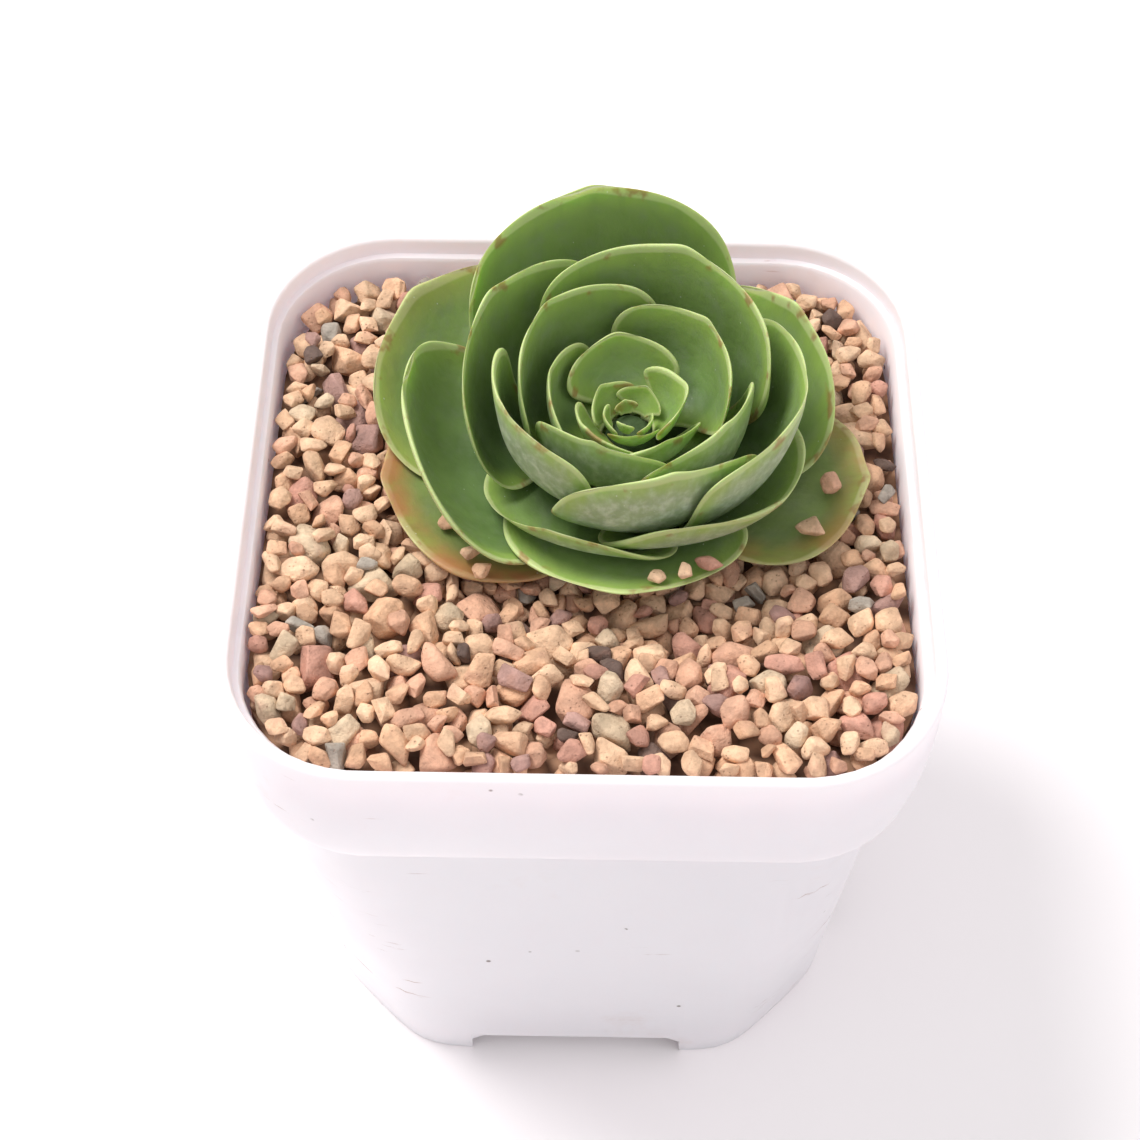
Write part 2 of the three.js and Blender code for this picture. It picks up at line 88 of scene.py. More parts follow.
def cut_square(angle, half, cut):
    """Distance from the axis to a square with softened 45 degree cuts."""
    c, s = abs(math.cos(angle)), abs(math.sin(angle))
    p = chamfer_sharpness
    total = (c / half) ** p + (s / half) ** p + ((c + s) / (2 * half - cut)) ** p
    return total ** (-1 / p)


def body_station(z, inset, ground=False):
    """A level of the body, set in from its outside, standing on the feet or not."""
    share = z / band_foot
    half = body_half_foot + (body_half_top - body_half_foot) * share - inset
    cut = chamfer_foot + (chamfer_top - chamfer_foot) * share - cut_inset_share * inset
    return cut_square, half, cut, z, ground


def rim_station(half, z):
    """A level of the rim, whose corners keep one centre."""
    return round_square, half, rim_corner - (rim_half - half), z, False


def lip_round(middle, radius, start, end, steps):
    """Stations round the lip's top, an arc from one side of it to the other."""
    for k in range(steps + 1):
        turn = math.radians(start + (end - start) * k / steps)
        yield rim_station(middle + radius * math.cos(turn), pot_height - radius * (1 - math.sin(turn)))


def foot_line(place, z):
    """Height of the pot's lower edge: on the ground at a foot, raised between."""
    from_edge = notch_half - min(abs(place.x), abs(place.y))
    if from_edge < 0:
        return z
    drop = max(notch_round - from_edge, 0)
    return z + foot_height - notch_round + math.sqrt(notch_round ** 2 - drop ** 2)


def pot_stations():
    """Every level from the inside floor over the lip and down to the underside."""
    lip_middle = rim_half - lip_wall / 2
    yield body_station(foot_height + wall, wall)
    yield body_station(foot_height + wall + 3 * MM, wall)
    yield body_station(band_foot - 0.6 * MM, wall)
    yield rim_station(band_half - wall - 1.6 * MM, band_foot + wall)
    yield rim_station(band_half - wall - 0.2 * MM, band_foot + wall + 0.5 * MM)
    yield rim_station(band_half - wall, band_foot + wall + 2 * MM)
    yield rim_station(band_half - wall, pot_height - lip_depth - 0.5 * MM)
    yield rim_station(band_half - wall + 0.25 * MM, pot_height - lip_depth - 0.1 * MM)
    yield rim_station(rim_half - lip_wall - 0.2 * MM, pot_height - lip_depth + 0.1 * MM)
    yield rim_station(rim_half - lip_wall, pot_height - lip_depth + 0.6 * MM)
    yield from lip_round(lip_middle, lip_wall / 2, 180, 0, 8)
    yield rim_station(rim_half, pot_height - 3 * MM)
    yield rim_station(rim_half, band_foot + 11.5 * MM)
    yield rim_station(rim_half - 0.4 * MM, band_foot + 6 * MM)
    yield rim_station(band_half, band_foot + 1.3 * MM)
    yield rim_station(band_half - 0.15 * MM, band_foot + 0.6 * MM)
    yield rim_station(band_half - 0.6 * MM, band_foot + 0.15 * MM)
    yield rim_station(band_half - 1.3 * MM, band_foot)
    yield rim_station(body_half_top + 0.7 * MM, band_foot - 0.1 * MM)
    yield body_station(band_foot - 0.5 * MM, 0)
    yield body_station(band_foot - 3 * MM, 0)
    yield body_station(band_foot * 0.5, 0)
    yield body_station(foot_height + 1 * MM, 0)
    yield body_station(0.3 * MM, 0, True)
    yield body_station(0, 0.3 * MM, True)
    yield body_station(0, wall - 0.2 * MM, True)
    yield body_station(0.2 * MM, wall, True)
    yield body_station(foot_height, wall)


def ring_angles():
    """Even steps round the pot, with a closer pair at each side of a notch."""
    notch = math.atan2(notch_half, body_half_foot)
    steps = [math.radians(2.5 * k) for k in range(144)]
    for quarter in range(4):
        for side in (-1, 1):
            for shift in (-0.48, -0.16, -0.02, 0.02):
                steps.append(quarter * math.pi / 2 + side * (notch - math.radians(shift)))
    return sorted(a % (2 * math.pi) for a in steps)


def build_pot():
    """A ring of edges drawn out from level to level, then closed by the floor."""
    bm = bmesh.new()
    angles = ring_angles()
    column = bm.verts.layers.int.new("column")
    ring = bmesh.ops.create_circle(bm, segments=len(angles), radius=rim_half)["verts"]
    ring.sort(key=lambda v: math.atan2(v.co.y, v.co.x) % (2 * math.pi))
    for k, vert in enumerate(ring):
        vert[column] = k
    edges = list(bm.edges)
    rings = []
    for number, (reach, half, corner, z, ground) in enumerate(pot_stations()):
        if number:
            grown = bmesh.ops.extrude_edge_only(bm, edges=edges)["geom"]
            ring = [v for v in grown if isinstance(v, bmesh.types.BMVert)]
            edges = [e for e in grown if isinstance(e, bmesh.types.BMEdge)]
            wanted = set(ring)
            edges = [e for e in edges if e.verts[0] in wanted and e.verts[1] in wanted]
        for vert in ring:
            angle = angles[vert[column]]
            distance = reach(angle, half, corner)
            vert.co = (distance * math.cos(angle), distance * math.sin(angle), z)
            if ground:
                vert.co.z = foot_line(vert.co, z)
        rings.append(edges)
    close_pot_floor(bm, rings[0], rings[-1])
    bmesh.ops.remove_doubles(bm, verts=bm.verts, dist=0.01 * MM)
    bmesh.ops.recalc_face_normals(bm, faces=bm.faces)
    return bm


def close_pot_floor(bm, top_edges, under_edges):
    """The floor between the inside and the underside, with its drain holes."""
    holes = []
    for edges, z in ((top_edges, foot_height + wall), (under_edges, foot_height)):
        circles = []
        for x, y in drain_places:
            place = Matrix.Translation((x * drain_spread, y * drain_spread, z))
            circle = bmesh.ops.create_circle(bm, segments=32, radius=drain_radius, matrix=place)
            circles.append(list({e for v in circle["verts"] for e in v.link_edges}))
        rim = list(edges) + [e for circle in circles for e in circle]
        bmesh.ops.triangle_fill(bm, use_beauty=True, use_dissolve=False, edges=rim)
        holes.append(circles)
    for upper, lower in zip(*holes):
        bmesh.ops.bridge_loops(bm, edges=upper + lower)


def object_from(bm, name, material):
    """A finished piece that rides with the pot."""
    mesh = bpy.data.meshes.new(name)
    bm.to_mesh(mesh)
    bm.free()
    mesh.materials.append(material)
    piece = bpy.data.objects.new(name, mesh)
    scene.collection.objects.link(piece)
    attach(piece, "root")
    return piece


class Shading:
    """Short names for adding and joining a material's nodes."""

    def __init__(self, name):
        self.material = bpy.data.materials.new(name)
        self.material.use_nodes = True
        self.tree = self.material.node_tree
        self.shader = self.tree.nodes["Principled BSDF"]

    def node(self, kind, **settings):
        made = self.tree.nodes.new("ShaderNode" + kind)
        for key, value in settings.items():
            setattr(made, key, value)
        return made

    def join(self, source, target):
        self.tree.links.new(source, target)

    def place(self, scale=(1, 1, 1)):
        """Object coordinates, stretched by scale."""
        mapping = self.node("Mapping")
        mapping.inputs["Scale"].default_value = scale
        self.join(self.node("TexCoord").outputs["Object"], mapping.inputs["Vector"])
        return mapping.outputs["Vector"]

    def noise(self, vector, scale, detail=4, roughness=0.5):
        made = self.node("TexNoise")
        made.inputs["Scale"].default_value = scale
        made.inputs["Detail"].default_value = detail
        made.inputs["Roughness"].default_value = roughness
        self.join(vector, made.inputs["Vector"])
        return made.outputs["Fac"]

    def cells(self, vector, scale, feature="F1"):
        made = self.node("TexVoronoi", feature=feature)
        made.inputs["Scale"].default_value = scale
        self.join(vector, made.inputs["Vector"])
        return made

    def ramp(self, value, low, high, start=0.0, end=1.0):
        made = self.node("MapRange", interpolation_type="SMOOTHSTEP")
        for key, number in (("From Min", low), ("From Max", high), ("To Min", start), ("To Max", end)):
            made.inputs[key].default_value = number
        self.join(value, made.inputs["Value"])
        return made.outputs["Result"]

    def math(self, operation, first, second):
        made = self.node("Math", operation=operation)
        for socket, value in zip(made.inputs, (first, second)):
            if isinstance(value, (int, float)):
                socket.default_value = value
            else:
                self.join(value, socket)
        return made.outputs["Value"]

    def mix(self, share, first, second, blend="MIX"):
        """Two colours, each a socket or three numbers, mixed by a share."""
        made = self.node("Mix", data_type="RGBA", blend_type=blend)
        sockets = (made.inputs[0], made.inputs[6], made.inputs[7])
        for socket, value in zip(sockets, (share, first, second)):
            if isinstance(value, tuple):
                socket.default_value = (*value, 1)
            elif isinstance(value, (int, float)):
                socket.default_value = value
            else:
                self.join(value, socket)
        return made.outputs[2]

    def attribute(self, name, output="Fac"):
        made = self.node("Attribute", attribute_name=name)
        return made.outputs[output]

    def bump(self, height, distance, strength=1.0, under=None):
        made = self.node("Bump")
        made.inputs["Strength"].default_value = strength
        made.inputs["Distance"].default_value = distance
        self.join(height, made.inputs["Height"])
        if under is not None:
            self.join(under, made.inputs["Normal"])
        return made.outputs["Normal"]

    def finish(self, colour, roughness, normal):
        self.join(colour, self.shader.inputs["Base Color"])
        self.join(roughness, self.shader.inputs["Roughness"])
        self.join(normal, self.shader.inputs["Normal"])
        return self.material


def rgb(red, green, blue):
    """An sRGB colour of 0 to 255 as the linear values that shaders take."""
    def linear(value):
        share = value / 255
        return share / 12.92 if share <= 0.04045 else ((share + 0.055) / 1.055) ** 2.4
    return tuple(linear(value) for value in (red, green, blue))


def moulded_plastic():
    """Milky white plastic with soil scuffs, a few specks and faint flow marks."""
    look = Shading("white_polypropylene")
    near = look.place()
    white = look.mix(look.noise(near, 30, 3), rgb(231, 223, 229), rgb(239, 232, 237))
    scratch_place = look.place((55, 55, 620))
    zone = look.ramp(look.noise(near, 48, 2), 0.56, 0.68)
    scratch = look.ramp(look.noise(scratch_place, 1.0, 6, 0.62), 0.615, 0.66)
    scuff = look.math("MULTIPLY", scratch, zone)
    smear = look.ramp(look.noise(near, 75, 5, 0.65), 0.6, 0.78, 0, 0.16)
    dots = look.cells(near, 260)
    dot = look.ramp(dots.outputs["Distance"], 0.05, 0.11, 1, 0)
    kept = look.ramp(look.noise(near, 110, 1), 0.63, 0.66)
    speck = look.math("MULTIPLY", dot, kept)
    colour = look.mix(smear, white, rgb(206, 170, 152))
    colour = look.mix(look.math("MULTIPLY", scuff, 0.8), colour, rgb(150, 96, 72))
    colour = look.mix(look.math("MULTIPLY", speck, 0.85), colour, rgb(96, 72, 62))
    rough = look.ramp(look.noise(near, 160, 4), 0.3, 0.7, 0.34, 0.48)
    flow = look.bump(look.noise(near, 420, 3), 0.05 * MM, 0.35)
    shader = look.shader.inputs
    shader["Subsurface Weight"].default_value = 0.6
    shader["Subsurface Radius"].default_value = (1.0, 0.82, 0.8)
    shader["Subsurface Scale"].default_value = 5 * MM
    shader["Specular IOR Level"].default_value = 0.4
    return look.finish(colour, rough, look.bump(look.math("ADD", scuff, speck), 0.06 * MM, 0.5, flow))


pot = object_from(build_pot(), "nursery_pot", moulded_plastic())
pot.data.shade_smooth()
pot.data.set_sharp_from_angle(angle=math.radians(38))
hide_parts("pot")


# ------------------------------------------------------------------ potting mix
# Dark peat with bark crumbs that fills the pot to just under the grit. It is
# poured in round the roots and shows only through the drain holes.

def peat():
    """Dark fibrous peat with paler bark crumbs."""
    look = Shading("peat_mix")
    near = look.place()
    crumbs = look.cells(near, 420)
    grain = look.noise(near, 900, 5, 0.7)
    colour = look.mix(grain, rgb(38, 27, 20), rgb(92, 68, 48))
    bark = look.ramp(crumbs.outputs["Distance"], 0.1, 0.6, 0.6, 0)
    colour = look.mix(bark, colour, rgb(120, 92, 66))
    rough = look.ramp(grain, 0.2, 0.8, 0.85, 1.0)
    return look.finish(colour, rough, look.bump(grain, 0.6 * MM))


def give_material(node, material):
    """A CAD piece that keeps its own shape takes a finished material."""
    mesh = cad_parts[node].data
    mesh.materials.clear()
    mesh.materials.append(material)


give_material("potting_mix", peat())


# ------------------------------------------------------------------ grit bed
# The lower grit stones are packed too deep to be told apart, in the shade of
# those above, so they are one rough dark bed that fills the hollow below.

bed_drop = 3.4 * MM
grit_low, grit_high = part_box("gravel_top_dressing")


def surface_of(*nodes):
    """A tree of CAD faces that rays can be cast at."""
    verts, faces = [], []
    for node in nodes:
        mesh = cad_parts[node].data
        start = len(verts)
        verts.extend(v.co.copy() for v in mesh.vertices)
        faces.extend([start + k for k in p.vertices] for p in mesh.polygons)
    return BVHTree.FromPolygons(verts, faces)


def build_bed():
    """The grit's own body with its top let down by the depth of the loose stones."""
    bm = bmesh.new()
    bm.from_mesh(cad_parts["gravel_top_dressing"].data)
    bmesh.ops.remove_doubles(bm, verts=bm.verts, dist=0.01 * MM)
    lowest = grit_low.z + 0.2 * MM
    for vert in bm.verts:
        if vert.co.z > lowest:
            vert.co.z = max(vert.co.z - bed_drop, lowest)
    return bm


def shaded_grit():
    """Stones in shade, with darker gaps between them."""
    look = Shading("deep_grit")
    near = look.place()
    stones = look.cells(near, 300)
    gap = look.ramp(stones.outputs["Distance"], 0.2, 0.75)
    colour = look.mix(gap, rgb(186, 144, 114), rgb(96, 68, 52))
    rough = look.ramp(look.noise(near, 700, 3), 0.2, 0.8, 0.85, 1.0)
    return look.finish(colour, rough, look.bump(look.math("SUBTRACT", 1.0, gap), 0.8 * MM))


bed = object_from(build_bed(), "grit_bed", shaded_grit())
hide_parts("gravel_top_dressing")


# ------------------------------------------------------------------ grit stones
# Kiln-fired clay grit, 3 to 7 mm long, poured on top of the mix: knocked chips
# with worn corners, mostly tan and peach, some brick, plum, grey and dark.

rng = np.random.default_rng(27)
grid_step = 0.25 * MM
grid_half = 40.5 * MM
bed_half = grit_high.x
bed_corner = rim_corner - (rim_half - bed_half)
stone_kinds = 24
stone_most = 1700
stone_tries = 60
wall_share = 0.3
stone_misses = 90
stone_least = 3.5 * MM
stone_spread = 3.9 * MM
stone_tilt = 0.4
settle_depth = 0.35 * MM
proud_limit = 0.9 * MM
leaf_clearance = 0.2 * MM
golden_turn = 2.39996
flat_facet = 0.02
stone_colours = (
    (0.42, rgb(216, 178, 146), rgb(228, 192, 160)),
    (0.24, rgb(208, 166, 134), rgb(220, 178, 146)),
    (0.15, rgb(204, 158, 132), rgb(216, 170, 144)),
    (0.06, rgb(190, 142, 124), rgb(202, 152, 134)),
    (0.04, rgb(158, 124, 116), rgb(176, 140, 130)),
    (0.05, rgb(200, 176, 148), rgb(214, 190, 162)),
    (0.025, rgb(156, 146, 136), rgb(176, 166, 154)),
    (0.015, rgb(96, 80, 74), rgb(124, 102, 92)),
)


def chip(seed):
    """A chip of about unit size: a hull of a few corners with worn edges."""
    draw = np.random.default_rng(seed)
    corners = int(draw.integers(9, 15))
    worn = draw.uniform(0.045, 0.08)
    bm = bmesh.new()
    for k in range(corners):
        height = 1 - 2 * (k + 0.5) / corners
        turn = k * golden_turn + draw.uniform(-0.6, 0.6)
        flat = math.sqrt(1 - height ** 2)
        reach = 0.5 * draw.uniform(0.74, 1.16)
        bm.verts.new((reach * flat * math.cos(turn), reach * flat * math.sin(turn), reach * height))
    bmesh.ops.convex_hull(bm, input=bm.verts)
    bmesh.ops.dissolve_limit(bm, angle_limit=math.radians(14), verts=bm.verts, edges=bm.edges)
    bmesh.ops.bevel(
        bm, geom=list(bm.edges), offset=worn, segments=2, profile=0.5, affect="EDGES",
        material=-1, clamp_overlap=True,
    )
    bmesh.ops.remove_doubles(bm, verts=bm.verts, dist=0.012)
    bmesh.ops.recalc_face_normals(bm, faces=bm.faces)
    for face in bm.faces:
        face.smooth = face.calc_area() < flat_facet
    mesh = bpy.data.meshes.new(f"chip_{seed}")
    bm.to_mesh(mesh)
    bm.free()
    return mesh


def hull_planes(mesh):
    """Each face's plane as a normal and a distance from the centre."""
    normals = np.array([p.normal for p in mesh.polygons])
    centres = np.array([p.center for p in mesh.polygons])
    return normals, (normals * centres).sum(1)


def envelope(normals, distances, matrix, reach):
    """Lower and upper heights of a turned chip over a small grid of cells."""
    turned = np.linalg.inv(matrix).T @ normals.T
    x = (np.arange(-reach, reach + 1)) * grid_step
    across, along = np.meshgrid(x, x, indexing="ij")
    low = np.full(across.shape, -1.0)
    high = np.full(across.shape, 1.0)
    for (a, b, c), d in zip(turned.T, distances):
        rest = d - a * across - b * along
        if c < -1e-9:
            low = np.maximum(low, rest / c)
        elif c > 1e-9:
            high = np.minimum(high, rest / c)
    return low, high, low < high


def height_maps():
    """Over the grid: the bed, the wanted grit level and the leaves' undersides."""
    cells = np.arange(-grid_half, grid_half, grid_step)
    bed_tree = surface_of("gravel_top_dressing")
    leaf_names = [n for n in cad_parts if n.startswith(("leaf_", "loose_", "stem"))]
    leaf_tree = surface_of(*leaf_names)
    shape = (len(cells), len(cells))
    level = np.full(shape, -1.0)
    roof = np.full(shape, 1.0)
    for i in range(0, len(cells), 2):
        for j in range(0, len(cells), 2):
            x, y = cells[i], cells[j]
            if math.hypot(x, y) > round_square(math.atan2(y, x), bed_half, bed_corner):
                continue
            hit = bed_tree.ray_cast(Vector((x, y, 1)), Vector((0, 0, -1)))[0]
            over = leaf_tree.ray_cast(Vector((x, y, grit_low.z)), Vector((0, 0, 1)))[0]
            level[i:i + 2, j:j + 2] = hit.z if hit else grit_low.z
            if over is not None:
                roof[i:i + 2, j:j + 2] = over.z
    return cells, level, roof


def pick_colour():
    """One stone's colour: a kind of clay by its share, then a shade of it."""
    share = rng.random()
    for weight, first, second in stone_colours:
        share -= weight
        if share < 0:
            break
    blend = rng.random()
    shade = rng.uniform(0.9, 1.08)
    return [shade * (a + (b - a) * blend) for a, b in zip(first, second)] + [1.0]


def candidate_spots(spots, cells):
    """Random places, or for some stones the places inwards from the wall."""
    if rng.random() > wall_share:
        return spots[rng.integers(len(spots), size=stone_tries)], False
    angle = rng.uniform(0, 2 * math.pi)
    edge = round_square(angle, bed_half, bed_corner)
    steps = edge - np.arange(4, 30) * grid_step
    along = np.outer(steps, (math.cos(angle), math.sin(angle)))
    return np.rint((along - cells[0]) / grid_step).astype(int), True


def pour_grit():
    """Drops stones one by one, each into the lowest of a few random places."""
    cells, level, roof = height_maps()
    inside = level > 0
    top = np.where(inside, level - bed_drop, 10.0)
    spots = np.argwhere(inside)
    chips = [chip(seed) for seed in range(stone_kinds)]
    planes = [hull_planes(mesh) for mesh in chips]
    placed = []
    misses = 0
    while len(placed) < stone_most and misses < stone_misses:
        size = stone_least + stone_spread * rng.random() ** 1.8
        kind = int(rng.integers(stone_kinds))
        stretch = np.array([1.0, rng.uniform(0.6, 0.92), rng.uniform(0.42, 0.8)]) * size
        tilts = rng.normal(0, stone_tilt), rng.normal(0, stone_tilt)
        turn = Euler((*tilts, rng.uniform(0, 2 * math.pi)))
        matrix = np.array(turn.to_matrix()) @ np.diag(stretch)
        reach = int(0.62 * size / grid_step) + 1
        low, high, under = envelope(*planes[kind], matrix, reach)
        best = None
        candidates, first_fits = candidate_spots(spots, cells)
        for i, j in candidates:
            if i < reach or j < reach or i + reach >= len(cells) or j + reach >= len(cells):
                continue
            window = (slice(i - reach, i + reach + 1), slice(j - reach, j + reach + 1))
            rest = (top[window] - low)[under].max() - settle_depth
            peak = rest + high[reach, reach]
            if rest > 1 or peak > level[i, j] + proud_limit:
                continue
            if ((rest + high)[under] > roof[window][under] - leaf_clearance).any():
                continue
            if best is None or rest < best[0]:
                best = (rest, i, j, window)
            if first_fits:
                break
        if best is None:
            misses += 1
            continue
        misses = 0
        rest, i, j, window = best
        top[window] = np.where(under, np.maximum(top[window], rest + high), top[window])
        place = Matrix.Translation((cells[i], cells[j], rest)) @ Matrix(matrix.tolist()).to_4x4()
        placed.append((kind, place, pick_colour()))
    return chips, placed


def build_stones(chips, placed):
    """All the poured stones as one body, each keeping its colour."""
    bm = bmesh.new()
    tint = bm.verts.layers.float_color.new("stone_colour")
    for kind, place, colour in placed:
        start = len(bm.verts)
        bm.from_mesh(chips[kind])
        bm.verts.ensure_lookup_table()
        fresh = bm.verts[start:]
        bmesh.ops.transform(bm, matrix=place, verts=fresh)
        for vert in fresh:
            vert[tint] = colour
    return bm


def fired_clay():
    """Dusty fired clay: pores darkened with painted shade, fine grain and a bloom of paler dust."""
    look = Shading("fired_clay_grit")
    near = look.place()
    own = look.attribute("stone_colour", "Color")
    broad = look.ramp(look.noise(near, 420, 3), 0.3, 0.7, 0.78, 1.16)
    grain = look.noise(near, 2600, 4, 0.6)
    pores = look.ramp(look.cells(near, 1500).outputs["Distance"], 0.08, 0.26, 1, 0)
    pitted = look.math("MULTIPLY", pores, look.ramp(look.noise(near, 500, 2), 0.45, 0.6))
    shade = look.math("MULTIPLY", broad, look.ramp(grain, 0.25, 0.75, 0.9, 1.08))
    grey = look.node("CombineColor")
    for channel in ("Red", "Green", "Blue"):
        look.join(shade, grey.inputs[channel])
    colour = look.mix(1.0, own, grey.outputs["Color"], "MULTIPLY")
    blush = look.ramp(look.noise(near, 260, 2), 0.58, 0.72, 0, 0.3)
    colour = look.mix(blush, colour, rgb(200, 150, 130))
    # painted shade: the pits of the pores are darkened as if shade lay in them
    colour = look.mix(look.math("MULTIPLY", pitted, 0.5), colour, rgb(134, 98, 78))
    rough = look.ramp(grain, 0.2, 0.8, 0.78, 0.98)
    relief = look.bump(look.noise(near, 620, 6, 0.62), 0.7 * MM, 0.9)
    pits = look.bump(look.math("SUBTRACT", 1.0, pitted), 0.15 * MM, 0.7, relief)
    look.shader.inputs["Specular IOR Level"].default_value = 0.25
    return look.finish(colour, rough, pits)


clay = fired_clay()
object_from(build_stones(*pour_grit()), "grit_stones", clay)


# ------------------------------------------------------------------ stem
# The short woody stem under the rosette. It grew as one piece with its root,
# is corky below and soft green at the bud, and the leaves and grit hide it.

stem_low, stem_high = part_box("stem")


def corky_stem():
    """Brown fibrous bark that turns green at the growing tip."""
    look = Shading("corky_stem")
    near = look.place((1, 1, 0.3))
    fibre = look.noise(near, 900, 5)
    bark = look.mix(fibre, rgb(92, 78, 50), rgb(150, 140, 96))
    height = look.node("SeparateXYZ")
    look.join(look.node("TexCoord").outputs["Object"], height.inputs["Vector"])
    bud = look.ramp(height.outputs["Z"], stem_high.z - 6 * MM, stem_high.z - 4 * MM)
    colour = look.mix(bud, bark, look.mix(fibre, rgb(40, 58, 30), rgb(66, 88, 46)))
    rough = look.ramp(fibre, 0.2, 0.8, 0.7, 0.9)
    return look.finish(colour, rough, look.bump(fibre, 0.3 * MM))


give_material("stem", corky_stem())


# ------------------------------------------------------------------ leaves
# Fleshy spoon-shaped leaves, each grown from the stem as one piece. The faces
# carry a grey-green waxy bloom, and the clear thin margin glows yellow-green.
# The outermost leaves are older, flatter and flushed with red.

axis = Vector(((stem_low.x + stem_high.x) / 2, (stem_low.y + stem_high.y) / 2, 0))
crown = Vector((axis.x, axis.y, pot_height - 7.7 * MM))
focus = crown + Vector((0, 0, 45 * MM))
fold_angle = math.radians(50)
margin_waves = 0.3 * MM
leaf_nodes = sorted(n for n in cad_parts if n.startswith("leaf_"))


def leaf_cage(node):
    """The leaf's own faces as merged four-sided ones, with its rim marked."""
    bm = bmesh.new()
    bm.from_mesh(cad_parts[node].data)
    bmesh.ops.remove_doubles(bm, verts=bm.verts, dist=0.01 * MM)
    bm.normal_update()
    rim = bm.verts.layers.float.new("rim")
    for edge in bm.edges:
        if edge.calc_face_angle(0) > fold_angle:
            edge.smooth = False
            for vert in edge.verts:
                vert[rim] = 1.0
    bmesh.ops.join_triangles(
        bm, faces=bm.faces, cmp_sharp=True,
        angle_face_threshold=math.pi, angle_shape_threshold=math.pi,
    )
    for edge in bm.edges:
        edge.smooth = True
    for face in bm.faces:
        face.smooth = True
    return bm


def subdivided(bm, name, levels):
    """A new mesh with a cage's subdivision surface applied."""
    mesh = bpy.data.meshes.new(name)
    bm.to_mesh(mesh)
    bm.free()
    cage = bpy.data.objects.new(name + "_cage", mesh)
    scene.collection.objects.link(cage)
    smooth = cage.modifiers.new("smooth", "SUBSURF")
    smooth.levels = smooth.render_levels = levels
    graph = bpy.context.evaluated_depsgraph_get()
    fine = bpy.data.meshes.new_from_object(cage.evaluated_get(graph))
    bpy.data.objects.remove(cage)
    fine.name = name
    return fine


def read(mesh, name):
    """One number for each point of a mesh."""
    values = np.zeros(len(mesh.vertices))
    mesh.attributes[name].data.foreach_get("value", values)
    return values


def points_of(mesh):
    values = np.zeros(len(mesh.vertices) * 3)
    mesh.vertices.foreach_get("co", values)
    return values.reshape(-1, 3)


def store(mesh, name, values):
    layer = mesh.attributes.new(name, "FLOAT", "POINT")
    layer.data.foreach_set("value", values.astype(np.float32))


def margin_distance(mesh, points, reach):
    """How far each point is from the nearest point of the side or end margin."""
    rim = np.where((read(mesh, "rim") > 0.999) & (reach > 7 * MM))[0]
    if len(rim) == 0:
        rim = np.where(read(mesh, "rim") > 0.999)[0]
    tree = kdtree.KDTree(len(rim))
    for k in rim:
        tree.insert(points[k], int(k))
    tree.balance()
    return np.array([tree.find(p)[2] for p in points])


def grow_leaf(order, node):
    """One leaf's fine mesh, with what its material needs to know at each point."""
    large = len(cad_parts[node].data.polygons) > 200
    mesh = subdivided(leaf_cage(node), f"rosette_{node}", 3 if large else 2)
    points = points_of(mesh)
    normals = np.array([n.vector for n in mesh.vertex_normals])
    reach = np.linalg.norm(points - np.array(crown), axis=1)
    margin = margin_distance(mesh, points, reach)
    near_margin = np.clip(1 - margin / (5 * MM), 0, 1) ** 2
    wave = np.array([noise.noise(Vector(p) * 130 + Vector((order * 7.3, 0, 0))) for p in points])
    free = np.clip((reach - 8 * MM) / (8 * MM), 0, 1)
    points += normals * (margin_waves * near_margin * free * wave)[:, None]
    mesh.vertices.foreach_set("co", points.ravel())
    to_focus = np.array(focus) - points
    to_focus /= np.linalg.norm(to_focus, axis=1)[:, None]
    side = (normals * to_focus).sum(1)
    middle = points.mean(0)
    heading = math.atan2(middle[1] - axis.y, middle[0] - axis.x)
    spin = np.arctan2(points[:, 1] - axis.y, points[:, 0] - axis.x) - heading
    spin = (spin + math.pi) % (2 * math.pi) - math.pi
    around = spin * np.hypot(points[:, 0] - axis.x, points[:, 1] - axis.y)
    store(mesh, "margin", margin / MM)
    store(mesh, "inner", np.clip(side * 2.5 + 0.5, 0, 1))
    store(mesh, "reach", reach / reach.max())
    store(mesh, "around", around / MM)
    store(mesh, "upward", reach / MM)
    store(mesh, "youth", np.full(len(points), order / (len(leaf_nodes) - 1)))
    store(mesh, "leaf_number", np.full(len(points), order * 13.7))
    mesh.update()
    return mesh


